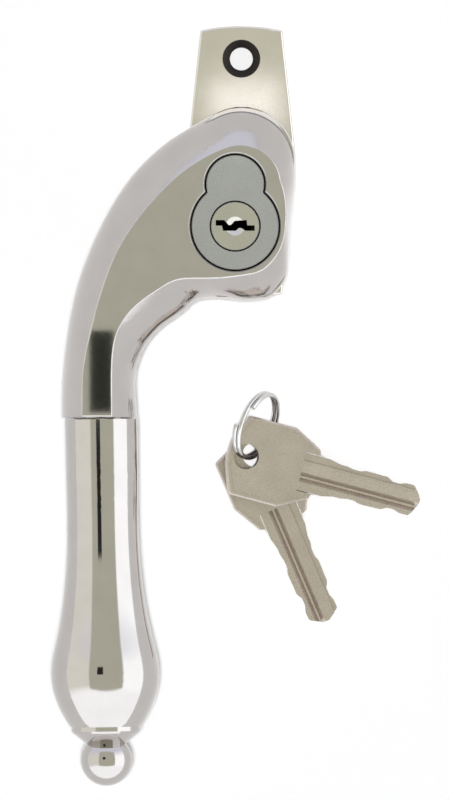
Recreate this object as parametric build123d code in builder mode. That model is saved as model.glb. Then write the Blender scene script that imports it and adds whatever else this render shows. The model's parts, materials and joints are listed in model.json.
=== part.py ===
"""Keyed window handle: a cranked arm and turned grip that pivot on a screwed base plate, with a wafer lock
in the boss whose barrel cam drives a bolt into the plate, and two keys on a split ring beside it.

Millimetres. The origin is on the pivot axis at the plate's back face. +Z points away from the window sash,
+Y up the stile and +X to the right as the user faces the handle, which hangs down in its closed position.
"""

import os
from math import cos, radians, sin

from build123d import *

# Base plate
plate_thickness = 5.0
plate_half_height = 28.3
plate_corner = (8.5, 27.35)
plate_waist = (10.9, 5.0)
plate_half_width = 11.1
screw_offset = 21.5
screw_hole_radius = 2.4
screw_sink_radius = 3.95
plate_corner_fillet = 0.4
plate_rim_fillet = 0.5

# Pivot between plate and handle
sleeve_radius = 5.9
sleeve_bottom = 0.3
sleeve_top = 25.0
socket_size = 7.1
socket_top = 22.5
bush_radius = 7.0
running_gap = 0.05
washer_recess_radius = 8.6
washer_recess_depth = 2.4
circlip_bottom = 0.6
circlip_thickness = 0.8
circlip_groove_depth = 0.5
circlip_width = 1.1
ear_radius = 1.2
ear_hole_radius = 0.45
ear_spread = 30.0
washer_sheet = 0.4
spindle_screw_radius = 2.0
spindle_screw_length = 6.0
spindle_screw_height = 11.0
spindle_screw_end = 9.7
spindle_screw_hex = 1.15
stop_radius = 9.0
stop_pin_radius = 1.0
stop_pin_reach = 1.3
stop_pin_seat = 4.0
stop_groove_depth = 1.6
handle_turn = 90.0

# Handle arm
boss_bottom = 5.2
face_height = 38.0
widest_height = 27.0
arm_bottom = 22.6
neck_end = -52.9
boss_radius = 11.1
boss_inset = 0.3
side_bulge = 1.7
face_fillet = 0.35

# Lock
lock_x, lock_y = -1.3, -13.65
lobe_y = -5.0
pocket_bottom = 28.0
housing_radius = 8.95
lobe_radius = 5.95
pocket_gap = 0.3
pocket_chamfer = 0.35
lock_screw_radius = 1.25
lock_screw_head_radius = 2.2
lock_screw_head = 1.8
lock_screw_length = 10.0
clearance = 0.1
seat_gap = 0.05
groove_top = 36.0
barrel_radius = 6.6
housing_bottom = 6.8
face_recess = 0.15
plug_head_radius = 5.15
plug_head_depth = 1.5
plug_head_gap = 0.12
plug_radius = 4.75
plug_bottom = 15.2
keyway_bottom = 17.2
dimple_radius = 1.95
clip_bottom = 15.8
clip_thickness = 0.6
clip_radius = 5.55
clip_groove_radius = 4.2
tongue_width = 1.5
tongue_height = 0.8
cam_screw_radius = 1.0
chamber_radius = 5.75
chamber_top = 16.6
groove_half_width = 2.3
groove_radius = 5.4

# Wafers
wafer_count = 6
wafer_pitch = 2.9
first_wafer = 34.5
wafer_thickness = 0.95
wafer_half_height = 2.2
spring_pocket = (3.65, 1.25)
wafer_window = (7.3, 2.4)
wafer_arm = (0.9, 1.1)
spring_radius = 0.34
spring_wire = 0.18
spring_length = 1.76
spring_pitch = 0.36

# Barrel cam and bolt
cam_top = 15.1
cam_disc_bottom = 13.6
cam_bottom = 6.9
cam_radius = 4.3
cam_bore = 2.3
cam_sink_radius = 1.95
cam_sink_depth = 0.9
bolt_radius = 2.25
bolt_nose = 5.6
bolt_top = 13.4
bolt_travel = 3.2
bolt_hole_play = 0.25
cross_pin_radius = 0.7
cross_pin_height = 12.0

# Grip, measured along its axis from the neck
grip_x = -28.95
grip_height = 30.3
grip_lean = 0.9
grip_radius = 7.5
grip_length = 63.8
finial_ball_radius = 5.32
finial_ball_centre = 70.7
stud_radius = 3.0
stud_depth = 11.0
joint_line = 0.15
spigot_radius = 2.5
spigot_length = 8.5
disc_radius = 7.15

# Keys, measured from the centre of the hole in the bow, tip towards +X
key_hole_radius = 2.65
key_tip = 37.7
shoulder = 17.3
mill_start = 12.0
key_low, key_high = -0.95, 1.15
border_inset = 0.85
border_width = 0.25
border_depth = 0.12
bow_fillet = 0.9
bow_chamfer = 0.35
cut_floor = (-0.85, 0.75)
cut_half_widths = [3.4, 3.1, 3.5, 3.45, 2.75, 3.2]
front_key_hole = (0.85, -61.1, 7.3)
front_key_heading = -14.9
front_key_dip = 9.2
rear_key_hole = (2.85, -60.7, 3.5)
rear_key_heading = -66.9
rear_key_dip = 3.6

# Split ring
ring_centre = (3.2, -54.7, 7.15)
ring_radius = 7.0
ring_wire = 0.9
ring_pitch = 0.96
ring_turns = 1.9
ring_heading = 69.0
ring_slope = 63.0

grip_direction = Vector(sin(radians(grip_lean)), -cos(radians(grip_lean)), 0)
grip_plane = Plane(
    origin=(grip_x, neck_end, grip_height), x_dir=grip_direction, z_dir=(0, 0, 1)
)
grip_axis = Axis(grip_plane.origin, grip_direction)

# The keyway's outline, and the play that the key's blade has in it
blade_scale = 0.985
blade_play = 0.06
keyway = [
    (-4.0, 1.25), (-2.25, 1.25), (-1.35, 0.25), (-0.9, 0.25), (-0.1, 1.1), (2.35, 1.25), (2.5, 0.15),
    (4.0, 0.15), (4.0, -0.95), (2.1, -0.95), (1.25, -0.4), (0.75, -0.4), (0.1, -0.95), (-2.5, -0.95),
    (-2.75, 0.1), (-4.0, 0.1),
]


def save(builder, name):
    """Labels a finished piece and writes it as parts/name.step."""
    builder.part.label = name
    export_step(builder.part, f"parts/{name}.step")


def ring_solid(inner, outer, bottom, top, centre=(0, 0)):
    """A plain ring about a vertical axis."""
    with BuildPart() as made:
        with BuildSketch(Plane.XY.offset(bottom)):
            with Locations(centre):
                Circle(outer)
                Circle(inner, mode=Mode.SUBTRACT)
        extrude(amount=top - bottom)
    return made


# ---------------------------------------------------------------- base plate and pivot


def make_base_plate():
    with BuildPart() as plate:
        with BuildSketch():
            with BuildLine():
                corner_x, corner_y = plate_corner
                waist_x, waist_y = plate_waist
                ThreePointArc((-corner_x, corner_y), (0, plate_half_height), plate_corner)
                Line(plate_corner, plate_waist)
                ThreePointArc(plate_waist, (plate_half_width, 0), (waist_x, -waist_y))
                Line((waist_x, -waist_y), (corner_x, -corner_y))
                ThreePointArc((corner_x, -corner_y), (0, -plate_half_height), (-corner_x, -corner_y))
                Line((-corner_x, -corner_y), (-waist_x, -waist_y))
                ThreePointArc((-waist_x, -waist_y), (-plate_half_width, 0), (-waist_x, waist_y))
                Line((-waist_x, waist_y), (-corner_x, corner_y))
            make_face()
        extrude(amount=plate_thickness)
        corners = plate.edges().filter_by(Axis.Z).filter_by(lambda e: abs(e.center().Y) > waist_y + 1)
        fillet(corners, radius=plate_corner_fillet)
        fillet(plate.faces().sort_by(Axis.Z)[-1].edges(), radius=plate_rim_fillet)
        with BuildSketch(Plane.XY):
            Circle(bush_radius)
        extrude(amount=plate_thickness, mode=Mode.SUBTRACT)
        with BuildSketch(Plane.XY):
            Circle(washer_recess_radius)
        extrude(amount=washer_recess_depth, mode=Mode.SUBTRACT)
        with Locations((0, screw_offset, plate_thickness), (0, -screw_offset, plate_thickness)):
            CounterSinkHole(screw_hole_radius, screw_sink_radius, counter_sink_angle=90)
        with BuildSketch(Plane.XY):
            with Locations((lock_x, lock_y)):
                Circle(bolt_radius + bolt_hole_play)
        extrude(amount=plate_thickness, mode=Mode.SUBTRACT)
        with BuildSketch(Plane.XY.offset(plate_thickness)):
            with BuildLine() as stop_path:
                CenterArc((0, 0), stop_radius, 90 - handle_turn, handle_turn)
            SlotArc(stop_path.wire().edge(), 2 * (stop_pin_radius + 0.1))
        extrude(amount=-stop_groove_depth, mode=Mode.SUBTRACT)
    save(plate, "base_plate")


def make_pivot():
    """Everything that lets the handle turn in the plate and holds it there."""
    bush = ring_solid(sleeve_radius + running_gap, bush_radius, washer_recess_depth, plate_thickness + 0.15)
    save(bush, "pivot_bush")

    with BuildPart() as sleeve:
        with BuildSketch(Plane.XY.offset(sleeve_bottom)):
            Circle(sleeve_radius)
        extrude(amount=sleeve_top - sleeve_bottom)
        with BuildSketch(Plane.XY.offset(sleeve_bottom)):
            RectangleRounded(socket_size, socket_size, 0.8)
        extrude(amount=socket_top - sleeve_bottom, mode=Mode.SUBTRACT)
        with BuildSketch(Plane.XY.offset(circlip_bottom)):
            Circle(sleeve_radius + 1)
            Circle(sleeve_radius - circlip_groove_depth, mode=Mode.SUBTRACT)
        extrude(amount=circlip_thickness, mode=Mode.SUBTRACT)
        with BuildSketch(lock_screw_plane()):
            Circle(lock_screw_radius + clearance)
        extrude(amount=socket_top - sleeve_top, mode=Mode.SUBTRACT)
        with BuildSketch(spindle_screw_plane()):
            Circle(spindle_screw_radius)
        extrude(amount=-socket_size, mode=Mode.SUBTRACT)
        chamfer(sleeve.edges().filter_by(GeomType.CIRCLE).group_by(Axis.Z)[0], length=0.2)
    save(sleeve, "spindle_sleeve")

    with BuildPart() as circlip:
        with BuildSketch(Plane.XY.offset(circlip_bottom)):
            Circle(sleeve_radius + circlip_width)
            with PolarLocations(sleeve_radius + 0.7, 2, -ear_spread / 2, ear_spread):
                Circle(ear_radius)
            Circle(sleeve_radius - circlip_groove_depth + 0.02, mode=Mode.SUBTRACT)
            with Locations((sleeve_radius + 1, 0)):
                Rectangle(5, 1.6, mode=Mode.SUBTRACT)
            with PolarLocations(sleeve_radius + 0.9, 2, -ear_spread / 2, ear_spread):
                Circle(ear_hole_radius, mode=Mode.SUBTRACT)
        extrude(amount=circlip_thickness)
    save(circlip, "retaining_ring")

    with BuildPart() as washer:
        with BuildSketch(Plane.XZ):
            with BuildLine():
                low = circlip_bottom + circlip_thickness + 0.02
                high = washer_recess_depth - 0.02
                inner = sleeve_radius + 0.15
                outer = washer_recess_radius - 0.3
                edge = (outer, high - washer_sheet)
                Polyline((inner, low), (inner, low + washer_sheet), (outer, high), edge, close=True)
            make_face()
        revolve(axis=Axis.Z)
    save(washer, "friction_washer")

    with BuildPart() as stop:
        with BuildSketch(Plane.XY.offset(plate_thickness - stop_pin_reach)):
            with Locations((0, stop_radius)):
                Circle(stop_pin_radius)
        extrude(amount=stop_pin_reach + stop_pin_seat)
    save(stop, "stop_pin")

    with BuildPart() as grub:
        with BuildSketch(spindle_screw_plane()):
            Circle(spindle_screw_radius)
        extrude(amount=-spindle_screw_length)
        chamfer(grub.edges().filter_by(GeomType.CIRCLE), length=0.3)
        with BuildSketch(spindle_screw_plane()):
            RegularPolygon(spindle_screw_hex, 6)
        extrude(amount=-2.5, mode=Mode.SUBTRACT)
    save(grub, "spindle_screw")


def spindle_screw_plane():
    """The outer end of the grub screw that clamps a spindle in the sleeve."""
    end = (spindle_screw_end, 0, spindle_screw_height)
    return Plane(origin=end, x_dir=(0, 1, 0), z_dir=(1, 0, 0))


def lock_screw_plane():
    """Just above the screw that holds the lock, looking down its axis."""
    return Plane.XY.offset(sleeve_top).move(Location((-0.3, -1.2, 0)))


# ---------------------------------------------------------------- handle arm

# Corners of the arm in plan, and the points between them, at its widest and round its flat face
widest_corners = [
    (11.05, -1.0), (-5.2, 9.8), (-37.1, neck_end), (-21.6, neck_end), (-5.5, -28.35), (4.9, -28.5),
    (9.5, -23.1),
]
face_corners = [
    (8.0, -4.4), (-3.3, 2.4), (-32.8, neck_end), (-26.7, neck_end), (-10.5, -24.4), (2.2, -23.4),
    (8.95, -15.0),
]
widest_between = [
    [(0, boss_radius)],
    [(-15.3, 3.8), (-23.5, -4.4), (-30.3, -16.2), (-34.8, -29.5), (-36.7, -42.0)],
    [],
    [(-21.7, -43.5), (-19.9, -38.6), (-16.2, -34.2), (-11.3, -30.6)],
    [(-0.5, -28.85)],
    [(7.7, -26.6)],
    [(10.4, -12.0)],
]
face_between = [
    [(3.2, 2.2)],
    [(-11.1, -1.8), (-18.2, -8.4), (-24.4, -16.6), (-29.3, -28.6), (-32.3, -41.0)],
    [],
    [(-26.7, -42.5), (-25.6, -35.4), (-22.2, -30.4), (-16.6, -26.3)],
    [(-4.5, -24.3)],
    [(6.7, -20.3)],
    [(9.2, -9.8)],
]


def arm_section(inset, height):
    """One horizontal section of the arm: inset 0 is the widest outline and 1 is the flat face's."""

    def mix(a, b):
        return tuple(p + (q - p) * inset for p, q in zip(a, b))

    corners = [mix(a, b) for a, b in zip(widest_corners, face_corners)]
    between = [[mix(a, b) for a, b in zip(s, t)] for s, t in zip(widest_between, face_between)]
    with BuildSketch(Plane.XY.offset(height)) as section:
        with BuildLine():
            ThreePointArc(corners[0], between[0][0], corners[1])
            outer = (corners[1], *between[1], corners[2])
            Spline(*outer, tangents=(mix((-0.88, -0.47), (-0.93, -0.36)), (0, -1)))
            Line(corners[2], corners[3])
            inner = (corners[3], *between[3], corners[4])
            Spline(*inner, tangents=((0, 1), (1, 0)))
            Spline(corners[4], between[4][0], corners[5], tangents=((1, 0), (1, 0.2)))
            Spline(corners[5], between[5][0], corners[6], tangents=((1, 0.2), (0.15, 1)))
            rising = mix((-0.09, 1), (-0.4, 0.92))
            Spline(corners[6], between[6][0], corners[0], tangents=((0.15, 1), rising))
        make_face()
    return section.sketch


def boss_footprint():
    """The lower boss, which covers the plate around and below the pivot."""
    right, corner, bottom = widest_corners[0], widest_corners[6], widest_corners[5]
    with BuildSketch(Plane.XY.offset(boss_bottom)) as footprint:
        with BuildLine():
            ThreePointArc(right, (0, boss_radius), (-right[0], right[1]))
            Line((-right[0], right[1]), (-corner[0], corner[1]))
            ThreePointArc((-corner[0], corner[1]), (-7.7, -26.6), (-bottom[0], bottom[1]))
            Line((-bottom[0], bottom[1]), bottom)
            ThreePointArc(bottom, (7.7, -26.6), corner)
            Line(corner, right)
        make_face()
        offset(amount=-boss_inset, kind=Kind.INTERSECTION)
    return footprint.sketch


def lock_outline(gap=0.0):
    """The lock's face: a round body with a smaller round lobe above it."""
    with Locations((lock_x, lock_y)):
        Circle(housing_radius + gap)
    with Locations((lock_x, lobe_y)):
        Circle(lobe_radius + gap)


def make_handle_arm():
    rise = face_height - widest_height
    upper = [arm_section(t**side_bulge, widest_height + rise * t) for t in (0, 0.35, 0.7, 1)]
    under = widest_height - arm_bottom
    lower = [arm_section(w, widest_height - d) for w, d in ((0, 0), (0.12, 2.6), (0.42, under))]
    with BuildPart() as arm:
        loft(upper)
        loft(lower)
        extrude(boss_footprint(), amount=widest_height + 3 - boss_bottom)
        face_edges = arm.faces().sort_by(Axis.Z)[-1].edges()
        fillet(face_edges, radius=face_fillet)
        with BuildSketch(Plane.XY.offset(face_height)):
            lock_outline(pocket_gap)
        extrude(amount=pocket_bottom - face_height, mode=Mode.SUBTRACT)
        with BuildSketch(Plane.XY.offset(housing_bottom)):
            with Locations((lock_x, lock_y)):
                Circle(barrel_radius + running_gap)
        extrude(amount=face_height - housing_bottom, mode=Mode.SUBTRACT)
        with BuildSketch(Plane.XY.offset(boss_bottom)):
            with Locations((lock_x, lock_y)):
                Circle(bolt_radius + running_gap)
        extrude(amount=face_height - boss_bottom, mode=Mode.SUBTRACT)
        with BuildSketch(Plane.XY.offset(boss_bottom)):
            Circle(sleeve_radius)
        extrude(amount=sleeve_top - boss_bottom, mode=Mode.SUBTRACT)
        with BuildSketch(lock_screw_plane()):
            Circle(lock_screw_radius + clearance)
        extrude(amount=pocket_bottom - sleeve_top, mode=Mode.SUBTRACT)
        with BuildSketch(Plane.XY.offset(boss_bottom)):
            with Locations((0, stop_radius)):
                Circle(stop_pin_radius)
        extrude(amount=plate_thickness + stop_pin_seat - boss_bottom, mode=Mode.SUBTRACT)
        with BuildSketch(spindle_screw_plane().offset(2)):
            Circle(spindle_screw_radius)
        extrude(amount=-8, mode=Mode.SUBTRACT)
        with BuildSketch(stud_plane().offset(1)):
            Circle(stud_radius)
        extrude(amount=-stud_depth - 1, mode=Mode.SUBTRACT)
        pocket_rim = arm.faces().sort_by(Axis.Z)[-1].inner_wires().edges()
        chamfer(pocket_rim, length=pocket_chamfer)
    save(arm, "handle_arm")


# ---------------------------------------------------------------- grip


def stud_plane():
    """Square to the grip's axis at the neck, facing down the grip."""
    return Plane(origin=grip_plane.origin, x_dir=(0, 0, 1), z_dir=grip_direction)


def make_grip():
    with BuildPart() as grip:
        with BuildSketch(grip_plane):
            with BuildLine():
                rim = (joint_line, grip_radius - 0.3)
                Polyline((grip_length, 0), (joint_line, 0), rim, (joint_line + 0.3, grip_radius))
                Spline(
                    (joint_line + 0.3, grip_radius), (14, 7.42), (27, 7.5), (36, 8.25), (45, 9.8),
                    (52.6, 11.2), (58.5, 10.15), (grip_length, 7.35),
                    tangents=((1, 0), (1, -0.78)),
                )
                Line((grip_length, 7.35), (grip_length, 0))
            make_face()
        revolve(axis=grip_axis)
        with BuildSketch(stud_plane()):
            Circle(stud_radius)
        extrude(amount=stud_depth + 0.1, mode=Mode.SUBTRACT)
        with BuildSketch(stud_plane().offset(grip_length)):
            Circle(spigot_radius)
        extrude(amount=-spigot_length - 0.5, mode=Mode.SUBTRACT)
    save(grip, "grip")

    with BuildPart() as stud:
        with BuildSketch(stud_plane().offset(-stud_depth)):
            Circle(stud_radius)
        extrude(amount=2 * stud_depth)
        chamfer(stud.edges().filter_by(GeomType.CIRCLE), length=0.5)
    save(stud, "grip_stud")

    with BuildPart() as finial:
        with BuildSketch(grip_plane):
            with BuildLine():
                start = grip_length - spigot_length
                rim = grip_length + 0.9
                ball = CenterArc((finial_ball_centre, 0), finial_ball_radius, 0, 129.5)
                Polyline(
                    ball @ 0, (start, 0), (start, spigot_radius - 0.4), (start + 0.4, spigot_radius),
                    (grip_length, spigot_radius), (grip_length, disc_radius), (rim, disc_radius),
                    (rim + 0.45, disc_radius - 0.35), ball @ 1,
                )
            make_face()
        revolve(axis=grip_axis)
    save(finial, "grip_finial")


# ---------------------------------------------------------------- lock


def make_lock_housing():
    with BuildPart() as housing:
        with BuildSketch(Plane.XY.offset(pocket_bottom + seat_gap)):
            lock_outline()
        extrude(amount=face_height - face_recess - pocket_bottom - seat_gap)
        chamfer(housing.faces().sort_by(Axis.Z)[-1].edges(), length=0.15)
        with BuildSketch(Plane.XY.offset(housing_bottom)):
            with Locations((lock_x, lock_y)):
                Circle(barrel_radius)
        extrude(amount=pocket_bottom + seat_gap - housing_bottom)
        with BuildSketch(Plane.XY.offset(face_height)):
            with Locations((lock_x, lock_y)):
                Circle(plug_head_radius + plug_head_gap)
        extrude(amount=-face_recess - plug_head_depth - seat_gap, mode=Mode.SUBTRACT)
        with BuildSketch(Plane.XY.offset(housing_bottom)):
            with Locations((lock_x, lock_y)):
                Circle(plug_radius + running_gap)
        extrude(amount=face_height - housing_bottom, mode=Mode.SUBTRACT)
        with BuildSketch(Plane.XY.offset(housing_bottom)):
            with Locations((lock_x, lock_y)):
                Circle(chamber_radius)
        extrude(amount=chamber_top - housing_bottom, mode=Mode.SUBTRACT)
        with BuildSketch(Plane.XY.offset(chamber_top)):
            with Locations((lock_x, lock_y)):
                Rectangle(2 * groove_radius, 2 * groove_half_width)
                Rectangle(2 * groove_half_width, 2 * groove_radius)
        extrude(amount=groove_top - chamber_top, mode=Mode.SUBTRACT)
        with BuildSketch(Plane.XY.offset(housing_bottom)):
            with Locations((lock_x, lock_y)):
                Rectangle(2 * barrel_radius + 1, 2 * cross_pin_radius + clearance)
        extrude(amount=cross_pin_height + cross_pin_radius + 0.05 - housing_bottom, mode=Mode.SUBTRACT)
        with BuildSketch(lock_screw_plane()):
            Circle(lock_screw_radius)
        extrude(amount=lock_screw_length - sleeve_top + socket_top + clearance, mode=Mode.SUBTRACT)
    save(housing, "lock_housing")

    with BuildPart() as screw:
        with BuildSketch(lock_screw_plane().offset(socket_top - sleeve_top)):
            Circle(lock_screw_radius)
        extrude(amount=lock_screw_length)
        with BuildSketch(lock_screw_plane().offset(socket_top - sleeve_top)):
            Circle(lock_screw_head_radius)
        extrude(amount=-lock_screw_head)
        with BuildSketch(lock_screw_plane().offset(socket_top - sleeve_top - lock_screw_head)):
            Rectangle(5, 0.7)
        extrude(amount=0.8, mode=Mode.SUBTRACT)
    save(screw, "lock_screw")


def wafer_height(index):
    return first_wafer - index * wafer_pitch


def wafer_side(index):
    """Alternate wafers spring out to the left and to the right."""
    return -1 if index % 2 == 0 else 1


def make_plug():
    with BuildPart() as plug:
        with BuildSketch(Plane.XY.offset(plug_bottom)):
            with Locations((lock_x, lock_y)):
                Circle(plug_radius)
        extrude(amount=face_height - face_recess - plug_bottom)
        with BuildSketch(Plane.XY.offset(face_height - face_recess)):
            with Locations((lock_x, lock_y)):
                Circle(plug_head_radius)
        extrude(amount=-plug_head_depth)
        chamfer(plug.faces().sort_by(Axis.Z)[-1].edges(), length=0.3)
        with BuildSketch(Plane.XY.offset(clip_bottom)):
            with Locations((lock_x, lock_y)):
                Circle(plug_radius + 1)
                Circle(clip_groove_radius, mode=Mode.SUBTRACT)
        extrude(amount=clip_thickness + clearance, mode=Mode.SUBTRACT)
        with Locations((lock_x, lock_y, face_height - face_recess)):
            CounterSinkHole(0.4, dimple_radius, depth=3, counter_sink_angle=120)
        with BuildSketch(Plane(origin=(lock_x, lock_y, keyway_bottom))):
            with BuildLine():
                Polyline(*keyway, close=True)
            make_face()
        extrude(amount=face_height - keyway_bottom, mode=Mode.SUBTRACT)
        for index in range(wafer_count):
            side = wafer_side(index)
            slot = wafer_thickness + clearance
            with BuildSketch(Plane.XY.offset(wafer_height(index) - slot / 2)):
                with Locations((lock_x, lock_y)):
                    Rectangle(2 * plug_radius + 1, 2 * wafer_half_height + clearance)
                with Locations((lock_x - side * 0.68, lock_y + wafer_half_height + 0.62)):
                    Rectangle(*spring_pocket)
            extrude(amount=slot, mode=Mode.SUBTRACT)
        with BuildSketch(Plane.XY.offset(plug_bottom)):
            with Locations((lock_x, lock_y)):
                Rectangle(tongue_width + clearance, 2 * plug_radius + 1)
        extrude(amount=tongue_height + clearance, mode=Mode.SUBTRACT)
        with BuildSketch(Plane.XY.offset(plug_bottom)):
            with Locations((lock_x, lock_y)):
                Circle(cam_screw_radius)
        extrude(amount=1.9, mode=Mode.SUBTRACT)
    save(plug, "lock_plug")

    with BuildPart() as clip:
        with BuildSketch(Plane.XY.offset(clip_bottom + seat_gap)):
            with Locations((lock_x, lock_y)):
                Circle(clip_radius)
                Circle(clip_groove_radius + seat_gap, mode=Mode.SUBTRACT)
            with Locations((lock_x, lock_y - 5)):
                Rectangle(4, 4, mode=Mode.SUBTRACT)
        extrude(amount=clip_thickness)
    save(clip, "plug_clip")


def make_wafers():
    for index in range(wafer_count):
        side = wafer_side(index)
        height = wafer_height(index)
        with BuildPart() as wafer:
            with BuildSketch(Plane.XY.offset(height - wafer_thickness / 2)):
                with Locations((lock_x, lock_y)):
                    Circle(plug_radius - 0.05)
                    Rectangle(2 * plug_radius, 2 * wafer_half_height, mode=Mode.INTERSECT)
                with Locations((lock_x, lock_y + wafer_half_height + 0.5)):
                    Rectangle(*wafer_arm)
                with Locations((lock_x + side * 0.35, lock_y + 0.15)):
                    Rectangle(*wafer_window, mode=Mode.SUBTRACT)
            extrude(amount=wafer_thickness)
        save(wafer, f"wafer_{index + 1}")

        start = (lock_x - side * 0.56, lock_y + wafer_half_height + 0.58, height)
        with BuildPart() as spring:
            with BuildLine() as coil:
                Helix(spring_pitch, spring_length, spring_radius, center=start, direction=(-side, 0, 0))
            with BuildSketch(Plane(origin=coil.line @ 0, z_dir=coil.line % 0)):
                Circle(spring_wire / 2)
            sweep(is_frenet=True)
        save(spring, f"wafer_spring_{index + 1}")


def make_cam_and_bolt():
    with BuildPart() as barrel:
        with BuildSketch(Plane.XY.offset(cam_bottom)):
            with Locations((lock_x, lock_y)):
                Circle(cam_radius)
        extrude(amount=cam_top - cam_bottom)
        with BuildSketch(Plane.XY.offset(cam_top)):
            with Locations((lock_x, lock_y)):
                Circle(cam_radius - 0.2)
                Rectangle(tongue_width, 2 * cam_radius, mode=Mode.INTERSECT)
        extrude(amount=tongue_height)
        with BuildSketch(Plane.XY.offset(cam_bottom)):
            with Locations((lock_x, lock_y)):
                Circle(cam_bore)
        extrude(amount=cam_disc_bottom - cam_bottom, mode=Mode.SUBTRACT)
        with BuildSketch(Plane.XY.offset(cam_disc_bottom)):
            with Locations((lock_x, lock_y)):
                Circle(cam_screw_radius + seat_gap)
        extrude(amount=4, mode=Mode.SUBTRACT)
        with BuildSketch(Plane.XY.offset(cam_disc_bottom)):
            with Locations((lock_x, lock_y)):
                Circle(cam_sink_radius)
        extrude(amount=cam_sink_depth, taper=45, mode=Mode.SUBTRACT)
        for turn in (0, 180):
            add(cam_slot(turn), mode=Mode.SUBTRACT)
    save(barrel, "barrel_cam")

    with BuildPart() as screw:
        with BuildSketch(Plane.XY.offset(cam_disc_bottom + seat_gap)):
            with Locations((lock_x, lock_y)):
                Circle(cam_sink_radius - clearance)
        extrude(amount=cam_sink_depth - seat_gap, taper=45)
        with BuildSketch(Plane.XY.offset(cam_disc_bottom + 0.3)):
            with Locations((lock_x, lock_y)):
                Circle(cam_screw_radius)
        extrude(amount=3.1)
        with BuildSketch(Plane.XY.offset(cam_disc_bottom + seat_gap)):
            with Locations((lock_x, lock_y)):
                Rectangle(5, 0.5)
        extrude(amount=0.35, mode=Mode.SUBTRACT)
    save(screw, "cam_screw")

    with BuildPart() as bolt:
        with BuildSketch(Plane.XY.offset(bolt_nose)):
            with Locations((lock_x, lock_y)):
                Circle(bolt_radius)
        extrude(amount=bolt_top - bolt_nose)
        chamfer(bolt.edges().filter_by(GeomType.CIRCLE).sort_by(Axis.Z)[0], length=0.4)
        with BuildSketch(cross_pin_plane()):
            Circle(cross_pin_radius)
        extrude(amount=6, both=True, mode=Mode.SUBTRACT)
    save(bolt, "locking_bolt")

    with BuildPart() as pin:
        with BuildSketch(cross_pin_plane()):
            Circle(cross_pin_radius)
        extrude(amount=6.2, both=True)
    save(pin, "cross_pin")


def cross_pin_plane():
    return Plane(origin=(lock_x, lock_y, cross_pin_height), x_dir=(0, 1, 0), z_dir=(1, 0, 0))


def cam_slot(turn):
    """The helical slot that drives the bolt's cross pin down as the plug turns clockwise a quarter turn."""
    middle = (cam_bore + cam_radius) / 2
    width = 2 * cross_pin_radius + clearance
    low = cross_pin_height - bolt_travel
    cutter_length = 4.2
    with BuildPart(mode=Mode.PRIVATE) as cutter:
        with BuildLine() as path:
            Helix(pitch=4 * bolt_travel, height=bolt_travel, radius=middle, lefthand=True)
        tangent = path.line % 0
        with BuildSketch(Plane(origin=path.line @ 0, x_dir=(1, 0, 0), z_dir=tangent)):
            Rectangle(cutter_length, width)
        sweep(is_frenet=True)
        for angle, height in ((0, 0), (-90, bolt_travel)):
            outward = Vector(cos(radians(angle)), sin(radians(angle)), 0)
            start = outward * 1.2 + Vector(0, 0, height)
            with BuildSketch(Plane(origin=start, x_dir=(0, 0, 1), z_dir=outward)):
                Circle(width / 2)
            extrude(amount=cutter_length)
    return cutter.part.moved(Location((lock_x, lock_y, low), (0, 0, 90 + turn)))


# ---------------------------------------------------------------- keys and ring


def key_outline():
    """Half the key's outline, from the back of the bow to the tip, with its cuts."""
    points = [(-3.9, 0), (-3.8, 2.7), (-1.5, 8.45), (8.8, 8.45), (14.8, 5.3), (15.1, 4.2), (shoulder, 3.95)]
    for index, half_width in enumerate(cut_half_widths):
        middle = shoulder + face_height - face_recess - wafer_height(index)
        points += [(middle + end, half_width) for end in cut_floor]
    return points + [(36.3, 2.9), (key_tip, 0.7)]


def blade_section():
    """The keyway's outline, less the play all round."""
    return [(x * blade_scale, y - blade_play if y > 0 else y + blade_play) for x, y in keyway]


def make_key(name, hole, heading, dip):
    place = Location(hole) * Location((0, 0, 0), (0, 0, heading)) * Location((0, 0, 0), (0, dip, 0))
    with BuildPart() as flat:
        half = key_outline()
        with BuildSketch(Plane.XY.offset(key_low)):
            with BuildLine():
                Polyline(*half, *[(x, -y) for x, y in reversed(half) if y > 0], close=True)
            make_face()
            Circle(key_hole_radius, mode=Mode.SUBTRACT)
        extrude(amount=key_high - key_low)
        upright = flat.edges().filter_by(Axis.Z).filter_by(lambda e: abs(e.center().Y) > 2.6)
        fillet(upright.filter_by(lambda e: e.center().X < 10), radius=bow_fillet)
        bow_rim = flat.faces().filter_by(Axis.Z).edges().filter_by(lambda e: e.center().X < 13)
        outer_rim = bow_rim.filter_by(lambda e: e.geom_type != GeomType.CIRCLE or e.radius < 2)
        chamfer(outer_rim, length=bow_chamfer)
        for height in (key_high - border_depth, key_low):
            with BuildSketch(Plane.XY.offset(height)):
                with BuildLine():
                    bow = [(x, y) for x, y in half if x < 15]
                    Polyline((15.9, 0), *[(x, -y) for x, y in reversed(bow)], *bow[1:], close=True)
                make_face()
                offset(amount=-border_inset, kind=Kind.INTERSECTION)
                offset(amount=-border_width, kind=Kind.INTERSECTION, mode=Mode.SUBTRACT)
                with Locations((mill_start + 5, 0)):
                    Rectangle(10, 8, mode=Mode.SUBTRACT)
            extrude(amount=border_depth, mode=Mode.SUBTRACT)
        with BuildSketch(Plane.YZ.offset(mill_start)):
            Rectangle(8.2, 4)
            with BuildLine():
                Polyline(*blade_section(), close=True)
            make_face(mode=Mode.SUBTRACT)
        extrude(amount=key_tip, mode=Mode.SUBTRACT)
    flat.part.label = name
    export_step(flat.part.moved(place), f"parts/{name}.step")


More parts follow.
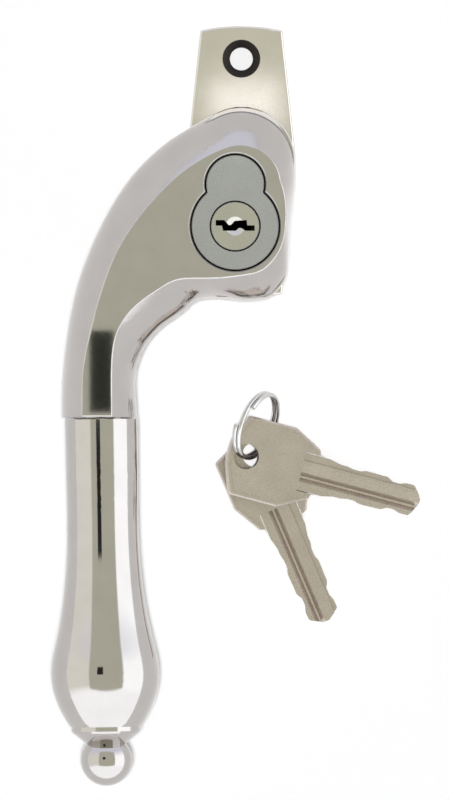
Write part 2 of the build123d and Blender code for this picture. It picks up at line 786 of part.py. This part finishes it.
def make_split_ring():
    across = Vector(cos(radians(ring_heading)), sin(radians(ring_heading)), 0)
    downhill = Vector(across.Y, -across.X, 0)
    uphill = downhill * -cos(radians(ring_slope)) + Vector(0, 0, sin(radians(ring_slope)))
    normal = across.cross(uphill)
    height = ring_pitch * ring_turns
    start = Vector(*ring_centre) - normal * (height / 2)
    with BuildPart() as ring:
        with BuildLine() as coil:
            Helix(ring_pitch, height, ring_radius, center=start, direction=normal)
        with BuildSketch(Plane(origin=coil.line @ 0, z_dir=coil.line % 0)):
            Circle(ring_wire / 2)
        sweep(is_frenet=True)
    save(ring, "split_ring")


def main():
    os.makedirs("parts", exist_ok=True)
    make_base_plate()
    make_pivot()
    make_handle_arm()
    make_grip()
    make_lock_housing()
    make_plug()
    make_wafers()
    make_cam_and_bolt()
    make_key("front_key", front_key_hole, front_key_heading, front_key_dip)
    make_key("rear_key", rear_key_hole, rear_key_heading, rear_key_dip)
    make_split_ring()


main()
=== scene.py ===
"""Keyed window handle with two keys beside it, lying on a pale surface and seen from straight above."""
import json
from math import radians

import bpy
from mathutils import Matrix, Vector

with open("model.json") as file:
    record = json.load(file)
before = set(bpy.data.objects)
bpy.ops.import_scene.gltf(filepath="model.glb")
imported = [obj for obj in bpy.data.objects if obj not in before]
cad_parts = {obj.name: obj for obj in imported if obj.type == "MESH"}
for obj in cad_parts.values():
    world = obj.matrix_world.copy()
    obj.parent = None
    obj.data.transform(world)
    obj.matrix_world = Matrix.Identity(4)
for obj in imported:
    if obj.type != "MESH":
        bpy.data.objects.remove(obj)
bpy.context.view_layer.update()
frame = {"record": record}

MM = 0.001
scene = bpy.context.scene
scene.view_settings.view_transform = "Standard"

# ---------------------------------------------------------------- camera

VIEW_CENTRE = Vector((-3.5 * MM, -49.4 * MM, 20 * MM))
VIEW_HEIGHT = 165.4 * MM
LENS = 700.0
SENSOR = 36.0


def make_camera():
    """A long lens straight above, so that tall and low parts keep nearly one scale."""
    data = bpy.data.cameras.new("camera")
    data.sensor_fit = "VERTICAL"
    data.sensor_height = SENSOR
    data.lens = LENS
    distance = VIEW_HEIGHT * LENS / SENSOR
    data.clip_end = distance * 3
    camera = bpy.data.objects.new("camera", data)
    camera.location = VIEW_CENTRE + Vector((0, 0, distance))
    scene.collection.objects.link(camera)
    scene.camera = camera


# ---------------------------------------------------------------- studio

CEILING = (0.773, 0.785, 0.66)
LEFT_WALL = (1.29, 1.29, 1.19)
RIGHT_WALL = (2, 2.08, 2.14)
FAR_WALL = (1.13, 1.17, 1.33)
NEAR_WALL = (1.84, 1.9, 1.96)
FLOOR_GLOW = (0.95, 0.97, 1.0)
CEILING_ACROSS = (-34, 40)      # degrees from straight up, left and right
CEILING_ALONG = (-27, 40)       # degrees from straight up, near and far
FLOOR_HALF = 3.0
FLOOR_Z = -0.0002
FLOOR_COLOUR = (0.9, 0.9, 0.9)
FLOOR_ROUGHNESS = 0.9
SUN_STRENGTH = 2.9
SUN_SPREAD = 3      # degrees
LIGHT_SIZE = 2.5


class Nodes:
    """Short helpers for building one node tree."""

    def __init__(self, tree):
        self.tree = tree
        self.tree.nodes.clear()

    def add(self, kind, inputs=(), **settings):
        node = self.tree.nodes.new(kind)
        for key, value in settings.items():
            setattr(node, key, value)
        for key, value in dict(inputs).items():
            socket = node.inputs[key]
            if isinstance(value, bpy.types.NodeSocket):
                self.tree.links.new(value, socket)
            else:
                socket.default_value = value
        return node

    def math(self, operation, *values):
        return self.add("ShaderNodeMath", dict(enumerate(values)), operation=operation).outputs[0]

    def mix(self, factor, a, b, blend="MIX"):
        node = self.add("ShaderNodeMix", data_type="RGBA", blend_type=blend)
        for socket, value in zip((node.inputs[0], node.inputs[6], node.inputs[7]), (factor, a, b)):
            if isinstance(value, bpy.types.NodeSocket):
                self.tree.links.new(value, socket)
            else:
                socket.default_value = value
        return node.outputs[2]

    def ramp(self, factor, *stops):
        node = self.add("ShaderNodeValToRGB", {"Fac": factor})
        elements = node.color_ramp.elements
        while len(elements) < len(stops):
            elements.new(0.5)
        for element, (position, value) in zip(elements, stops):
            element.position = position
            element.color = (*value, 1) if isinstance(value, tuple) else (value, value, value, 1)
        return node.outputs[0]

    def band(self, value, low, high, soft):
        """1 between low and high, fading over soft at each side."""
        rising = {"Value": value, "From Min": low - soft, "From Max": low + soft}
        falling = {"Value": value, "From Min": high + soft, "From Max": high - soft}
        rise = self.add("ShaderNodeMapRange", rising)
        fall = self.add("ShaderNodeMapRange", falling)
        return self.math("MULTIPLY", rise.outputs[0], fall.outputs[0])


def rgba(colour):
    return (*colour, 1)


def make_world():
    """A soft room: a beige ceiling, bright walls on the right and near sides, dimmer ones elsewhere."""
    world = bpy.data.worlds.new("studio")
    scene.world = world
    world.cycles_visibility.diffuse = False
    world.use_nodes = True
    n = Nodes(world.node_tree)
    direction = n.add("ShaderNodeTexCoord").outputs["Generated"]
    x, y, z = n.add("ShaderNodeSeparateXYZ", {"Vector": direction}).outputs
    across = n.math("ARCTAN2", x, z)
    along = n.math("ARCTAN2", y, z)
    side = n.add("ShaderNodeMapRange", {"Value": x, "From Min": -0.3, "From Max": 0.3}).outputs[0]
    walls = n.mix(side, rgba(LEFT_WALL), rgba(RIGHT_WALL))
    far = n.add("ShaderNodeMapRange", {"Value": y, "From Min": 0.25, "From Max": 0.6}).outputs[0]
    walls = n.mix(far, walls, rgba(FAR_WALL))
    near = n.add("ShaderNodeMapRange", {"Value": y, "From Min": -0.3, "From Max": -0.45}).outputs[0]
    walls = n.mix(near, walls, rgba(NEAR_WALL))
    edge = radians(2)
    over_x = n.band(across, radians(CEILING_ACROSS[0]), radians(CEILING_ACROSS[1]), edge)
    over_y = n.band(along, radians(CEILING_ALONG[0]), radians(CEILING_ALONG[1]), edge)
    ceiling = n.math("MULTIPLY", over_x, over_y)
    colour = n.mix(ceiling, walls, rgba(CEILING))
    below = n.add("ShaderNodeMapRange", {"Value": z, "From Min": 0.02, "From Max": -0.02}).outputs[0]
    colour = n.mix(below, colour, rgba(FLOOR_GLOW))
    background = n.add("ShaderNodeBackground", {"Color": colour, "Strength": 1.0})
    n.add("ShaderNodeOutputWorld", {"Surface": background.outputs[0]})


def make_floor():
    mesh = bpy.data.meshes.new("floor")
    signs = ((-1, -1), (1, -1), (1, 1), (-1, 1))
    corners = [(i * FLOOR_HALF, j * FLOOR_HALF, FLOOR_Z) for i, j in signs]
    mesh.from_pydata(corners, [], [(0, 1, 2, 3)])
    floor = bpy.data.objects.new("floor", mesh)
    scene.collection.objects.link(floor)
    material = bpy.data.materials.new("floor")
    material.use_nodes = True
    shader = material.node_tree.nodes["Principled BSDF"]
    shader.inputs["Base Color"].default_value = rgba(FLOOR_COLOUR)
    shader.inputs["Roughness"].default_value = FLOOR_ROUGHNESS
    mesh.materials.append(material)


def make_card(name, centre, size, colour, strength):
    """A level rectangular studio card above the object, which only shows in reflections; in mm."""
    mesh = bpy.data.meshes.new(name)
    x, y, z = centre
    half_x, half_y = size[0] / 2, size[1] / 2
    signs = ((-1, -1), (1, -1), (1, 1), (-1, 1))
    corners = [((x + i * half_x) * MM, (y + j * half_y) * MM, z * MM) for i, j in signs]
    mesh.from_pydata(corners, [], [(0, 1, 2, 3)])
    card = bpy.data.objects.new(name, mesh)
    scene.collection.objects.link(card)
    material = bpy.data.materials.new(name)
    material.use_nodes = True
    n = Nodes(material.node_tree)
    glow = n.add("ShaderNodeEmission", {"Color": rgba(colour), "Strength": strength})
    n.add("ShaderNodeOutputMaterial", {"Surface": glow.outputs[0]})
    mesh.materials.append(material)
    for kind in ("camera", "diffuse", "transmission", "volume_scatter", "shadow"):
        setattr(card, "visible_" + kind, False)


def make_sun():
    """Straight down, so that every gap and hole shows a bright floor; metals do not mirror it."""
    data = bpy.data.lights.new("sun", "SUN")
    data.energy = SUN_STRENGTH
    data.angle = radians(SUN_SPREAD)
    sun = bpy.data.objects.new("sun", data)
    sun.location = (0, 0, 2)
    sun.visible_glossy = False
    scene.collection.objects.link(sun)


def make_light(name, place, power):
    """A soft square lamp that faces the object and is not mirrored in it."""
    data = bpy.data.lights.new(name, "AREA")
    data.shape = "SQUARE"
    data.size = LIGHT_SIZE
    data.energy = power
    light = bpy.data.objects.new(name, data)
    light.location = Vector(place)
    light.rotation_euler = (VIEW_CENTRE - light.location).to_track_quat("-Z", "Y").to_euler()
    light.visible_glossy = False
    scene.collection.objects.link(light)


# ---------------------------------------------------------------- materials


def painted_shade_mask(n, place, cavities):
    """1 inside the given upright round cavities, where shade is painted, 0 elsewhere."""
    x, y, z = n.add("ShaderNodeSeparateXYZ", {"Vector": place}).outputs
    total = 0.0
    for centre_x, centre_y, radius, low, high in cavities:
        dx = n.math("SUBTRACT", x, centre_x * MM)
        dy = n.math("SUBTRACT", y, centre_y * MM)
        distance = n.math("SQRT", n.math("ADD", n.math("MULTIPLY", dx, dx), n.math("MULTIPLY", dy, dy)))
        inside = n.math("LESS_THAN", distance, radius * MM)
        above = n.math("GREATER_THAN", z, low * MM)
        under = n.math("LESS_THAN", z, high * MM)
        total = n.math("MAXIMUM", total, n.math("MULTIPLY", inside, n.math("MULTIPLY", above, under)))
    return total


def metal(name, colour, roughness, scratch=0.0, grain=(400, 400, 400), waviness=0.0, tint=0.03, cavities=()):
    """A metal with slight colour drift, uneven polish, fine scratches and a gentle waviness, and painted
    shade in the given cavities: a near-black colour there, with more roughness.
    """
    material = bpy.data.materials.new(name)
    material.use_nodes = True
    n = Nodes(material.node_tree)
    place = n.add("ShaderNodeTexCoord").outputs["Object"]
    cloud = n.add("ShaderNodeTexNoise", {"Vector": place, "Scale": 180.0, "Detail": 4.0}).outputs[0]
    stretched = n.add("ShaderNodeMapping", {"Vector": place, "Scale": grain}).outputs[0]
    fine = n.add("ShaderNodeTexNoise", {"Vector": stretched, "Scale": 8.0, "Detail": 3.0}).outputs[0]
    darker = tuple(c * (1 - tint) for c in colour)
    lighter = tuple(min(1, c * (1 + tint)) for c in colour)
    base = n.ramp(cloud, (0.3, darker), (0.7, lighter))
    polish = {"Value": fine, "From Min": 0.3, "From Max": 0.7, "To Min": roughness * 0.8}
    rough = n.add("ShaderNodeMapRange", {**polish, "To Max": roughness * 1.25}).outputs[0]
    slow = n.add("ShaderNodeTexNoise", {"Vector": place, "Scale": 60.0, "Detail": 1.0}).outputs[0]
    height = n.math("ADD", n.math("MULTIPLY", fine, scratch), n.math("MULTIPLY", slow, waviness))
    bump = n.add("ShaderNodeBump", {"Height": height, "Strength": 1.0, "Distance": 0.001})
    # Painted shade: inside the cavities the colour is mixed to near black, in place of the shade that falls
    # in these hollows, and the roughness is raised.
    if cavities:
        mask = painted_shade_mask(n, place, cavities)
        base = n.mix(mask, base, rgba(PAINTED_SHADE_COLOUR))
        rough = n.math("ADD", rough, n.math("MULTIPLY", mask, CAVITY_ROUGHER))
    surface = {"Base Color": base, "Roughness": rough, "Metallic": 1.0, "Normal": bump.outputs[0]}
    shader = n.add("ShaderNodeBsdfPrincipled", surface)
    n.add("ShaderNodeOutputMaterial", {"Surface": shader.outputs[0]})
    return material


NICKEL = (0.475, 0.45, 0.435)
PLATE_NICKEL = (0.64, 0.6, 0.56)
BRASS = (0.8, 0.6, 0.3)
# Painted shade: the near-black colour given to the insides of the pocket, holes and keyway.
PAINTED_SHADE_COLOUR = (0.055, 0.048, 0.043)
CAVITY_ROUGHER = 0.45

make_camera()
make_world()
make_floor()
make_sun()
make_light("key_light", (0.5, -0.4, 1.6), 5)
make_light("fill_light", (-0.9, 0.7, 1.5), 4)
make_card("dark_flag", (-75, -80, 300), (60, 54), (0.03, 0.03, 0.03), 1)
make_card("neck_flag", (-29, -43.5, 70), (5, 17), (0.04, 0.045, 0.04), 1)
make_card("white_card", (1, 13, 75), (15, 11), (1, 1, 0.97), 1.7)

# The shaded hollows, painted dark: centre x and y, radius, lowest and highest z, in mm
LOCK = (-1.3, -13.65)
LOBE = (-1.3, -5.0)
FACE_Z = 38.0
POCKET = [(*LOCK, 9.27, 27.0, FACE_Z - 0.36), (*LOBE, 6.28, 27.0, FACE_Z - 0.36)]
BARREL_HOLE = [(*LOCK, 5.29, 5.0, FACE_Z - 0.25)]
KEYWAY = [(*LOCK, 4.74, 15.0, 36.6)]
SCREW_HOLES = [(0, y, 3.93, -1, 4.98) for y in (21.5, -21.5)]

FINISHES = {
    "handle_metal": metal("polished_nickel", NICKEL, 0.09, scratch=0.0003, waviness=0.004, cavities=POCKET),
    "grip_metal": metal("polished_nickel_grip", NICKEL, 0.07, scratch=0.0003, grain=(60, 600, 600)),
    "finial_metal": metal("polished_nickel_finial", NICKEL, 0.07, scratch=0.0003),
    "plate_metal": metal("polished_nickel_plate", PLATE_NICKEL, 0.16, scratch=0.0003, waviness=0.01,
                         cavities=SCREW_HOLES),
    "lock_zinc": metal("satin_zinc", (0.43, 0.435, 0.455), 0.3, scratch=0.0003, cavities=BARREL_HOLE),
    "plug_metal": metal("satin_nickel_plug", (0.5, 0.48, 0.44), 0.25, scratch=0.0003, cavities=KEYWAY),
    "inner_steel": metal("zinc_plated_steel", (0.55, 0.55, 0.56), 0.3, scratch=0.0006),
    "bush_brass": metal("turned_brass", BRASS, 0.25, scratch=0.0006),
    "wafer_brass": metal("stamped_brass", BRASS, 0.3, scratch=0.0006, cavities=KEYWAY),
    "spring_steel": metal("spring_wire", (0.55, 0.55, 0.57), 0.25),
    "key_metal": metal("nickel_silver", (0.5, 0.44, 0.395), 0.3, scratch=0.0003, waviness=0.006, tint=0.06),
    "ring_metal": metal("ring_wire", (0.6, 0.59, 0.58), 0.16, scratch=0.0004),
}


def finish_nodes():
    slots = {row["node"]: row["material_slot"] for row in frame["record"]["subparts"]}
    for name, slot in slots.items():
        thing = bpy.data.objects[name]
        if not thing.material_slots:
            thing.data.materials.append(FINISHES[slot])
        for holder in thing.material_slots:
            holder.material = FINISHES[slot]


finish_nodes()
